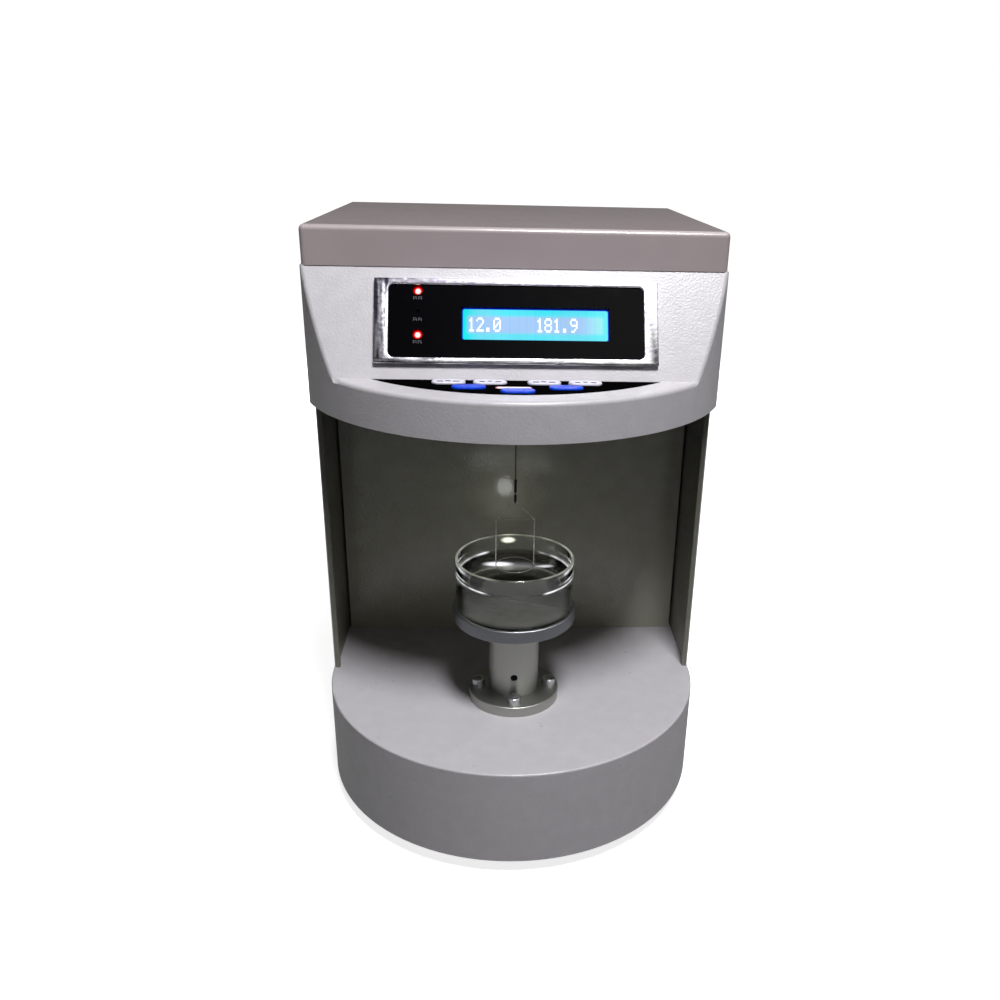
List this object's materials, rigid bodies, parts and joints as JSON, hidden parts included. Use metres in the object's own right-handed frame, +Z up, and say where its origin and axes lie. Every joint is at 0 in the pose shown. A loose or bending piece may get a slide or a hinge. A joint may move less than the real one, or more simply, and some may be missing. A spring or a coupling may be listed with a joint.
{
  "type": "surface tensiometer",
  "caption": "Bench ring tensiometer: a hollow upright with a display head over a round-fronted base, a motor-raised stage with a glass dish, and a wire ring hung from a force sensor.",
  "frame": {"origin": "bottom centre of the instrument's bounding box, on the surface that the feet stand on", "axes": "+Z up; -Y towards the user, the round front; +X to the user's right"},
  "size_m": [0.2014, 0.268, 0.2953],
  "materials": {
    "textured_grey_paint": "light grey orange-peel enamel",
    "lid_paint": "smooth warm grey enamel",
    "dark_grey_paint": "dark olive-grey enamel, inside of the work space",
    "zinc_steel": "bright zinc plated steel",
    "satin_aluminium": "turned and anodised",
    "bronze": "machined bronze",
    "brass": "machined brass",
    "chrome_frame": "bright chrome",
    "smoked_window": "smoked acrylic",
    "lcd": "backlit blue screen in a black frame",
    "red_led": "clear red epoxy",
    "circuit_board": "green solder resist",
    "black_plastic": "fine matt",
    "white_key": "satin white",
    "blue_key": "satin blue",
    "borosilicate_glass": "clear fire-polished glass",
    "platinum_wire": "platinum-iridium",
    "black_steel": "blackened steel",
    "black_rubber": "matt rubber",
    "copper_coil": "enamelled copper wire",
    "red_rocker": "translucent red"
  },
  "bodies": {
    "housing": {"base_shell": "textured_grey_paint", "base_plate": "zinc_steel", "base_pillars": "zinc_steel", "rubber_feet": "black_rubber", "foot_screws": "zinc_steel", "left_wall": "dark_grey_paint", "right_wall": "dark_grey_paint", "back_panel": "dark_grey_paint", "rear_cover": "textured_grey_paint", "rear_cover_screws": "zinc_steel", "head_shell": "textured_grey_paint", "head_floor": "dark_grey_paint", "display_bezel": "chrome_frame", "display_window": "smoked_window", "lcd_module": "lcd", "display_board": "circuit_board", "led_top": "red_led", "led_middle": "red_led", "led_bottom": "red_led", "keypad_overlay": "black_plastic", "keypad_board": "circuit_board", "key_switches": "black_plastic", "stage_sleeve": "satin_aluminium", "guide_bush": "bronze", "sleeve_screws": "zinc_steel", "sleeve_set_screw": "black_steel", "motor_plate": "satin_aluminium", "motor_screws": "zinc_steel", "lift_motor": "black_steel", "sensor_base": "satin_aluminium", "beam_pivot": "zinc_steel", "magnet_pot": "zinc_steel", "position_sensor": "black_plastic", "main_board": "circuit_board", "board_standoffs": "brass", "transformer": "black_steel", "iec_inlet": "black_plastic", "inlet_pins": "zinc_steel", "power_switch": "black_plastic", "serial_port": "zinc_steel"},
    "stage": {"stage_stem": "zinc_steel", "lift_nut": "brass", "platform": "satin_aluminium"},
    "dish": {"dish": "borosilicate_glass"},
    "screw": {"lead_screw": "zinc_steel"},
    "lid": {"lid": "lid_paint"},
    "beam": {"balance_beam": "satin_aluminium", "beam_hook": "zinc_steel", "drive_coil": "copper_coil"},
    "ring_hanger": {"hanging_rod": "black_steel", "du_nouy_ring": "platinum_wire"},
    "rocker": {"switch_rocker": "red_rocker"},
    "fuse_drawer": {"fuse_drawer": "black_plastic"},
    "key_zero": {"key_zero": "white_key"},
    "key_calibrate": {"key_calibrate": "white_key"},
    "key_mean": {"key_mean": "white_key"},
    "key_auto": {"key_auto": "white_key"},
    "key_down": {"key_down": "blue_key"},
    "key_stop": {"key_stop": "blue_key"},
    "key_up": {"key_up": "blue_key"}
  },
  "joints": [
    {"name": "stage_lift", "type": "slide", "parent": "housing", "child": "stage", "axis": [0, 0, 1], "range_m": [0, 0.014]},
    {"name": "lead_screw_turn", "type": "hinge", "parent": "housing", "child": "screw", "pos_m": [0, -0.0617, 0.0445], "axis": [0, 0, 1], "range_deg": [-2525, 5]},
    {"name": "dish_lift_off", "type": "slide", "parent": "stage", "child": "dish", "axis": [0, 0, 1], "range_m": [0, 0.004]},
    {"name": "lid_lift_off", "type": "slide", "parent": "housing", "child": "lid", "axis": [0, 0, 1], "range_m": [0, 0.06]},
    {"name": "beam_tilt", "type": "hinge", "parent": "housing", "child": "beam", "pos_m": [0, -0.0137, 0.2361], "axis": [1, 0, 0], "range_deg": [-0.5, 0.5], "stiffness_Nm_per_rad": 6},
    {"name": "ring_swing", "type": "hinge", "parent": "beam", "child": "ring_hanger", "pos_m": [0, -0.0617, 0.2195], "axis": [0, 1, 0], "range_deg": [-4, 4]},
    {"name": "power_rocker_turn", "type": "hinge", "parent": "housing", "child": "rocker", "pos_m": [-0.0165, 0.1288, 0.091], "axis": [1, 0, 0], "range_deg": [-16, 0]},
    {"name": "fuse_drawer_slide", "type": "slide", "parent": "housing", "child": "fuse_drawer", "axis": [0, 1, 0], "range_m": [0, 0.014]},
    {"name": "key_zero_press", "type": "slide", "parent": "housing", "child": "key_zero", "axis": [0, 0, -1], "range_m": [0, 0.0005], "stiffness_N_per_m": 600},
    {"name": "key_calibrate_press", "type": "slide", "parent": "housing", "child": "key_calibrate", "axis": [0, 0, -1], "range_m": [0, 0.0005], "stiffness_N_per_m": 600},
    {"name": "key_mean_press", "type": "slide", "parent": "housing", "child": "key_mean", "axis": [0, 0, -1], "range_m": [0, 0.0005], "stiffness_N_per_m": 600},
    {"name": "key_auto_press", "type": "slide", "parent": "housing", "child": "key_auto", "axis": [0, 0, -1], "range_m": [0, 0.0005], "stiffness_N_per_m": 600},
    {"name": "key_down_press", "type": "slide", "parent": "housing", "child": "key_down", "axis": [0, 0, -1], "range_m": [0, 0.0005], "stiffness_N_per_m": 600},
    {"name": "key_stop_press", "type": "slide", "parent": "housing", "child": "key_stop", "axis": [0, 0, -1], "range_m": [0, 0.0005], "stiffness_N_per_m": 600},
    {"name": "key_up_press", "type": "slide", "parent": "housing", "child": "key_up", "axis": [0, 0, -1], "range_m": [0, 0.0005], "stiffness_N_per_m": 600}
  ],
  "couplings": [
    {"joint": "lead_screw_turn", "follows": "stage_lift", "rad_per_m": -3141.6}
  ]
}
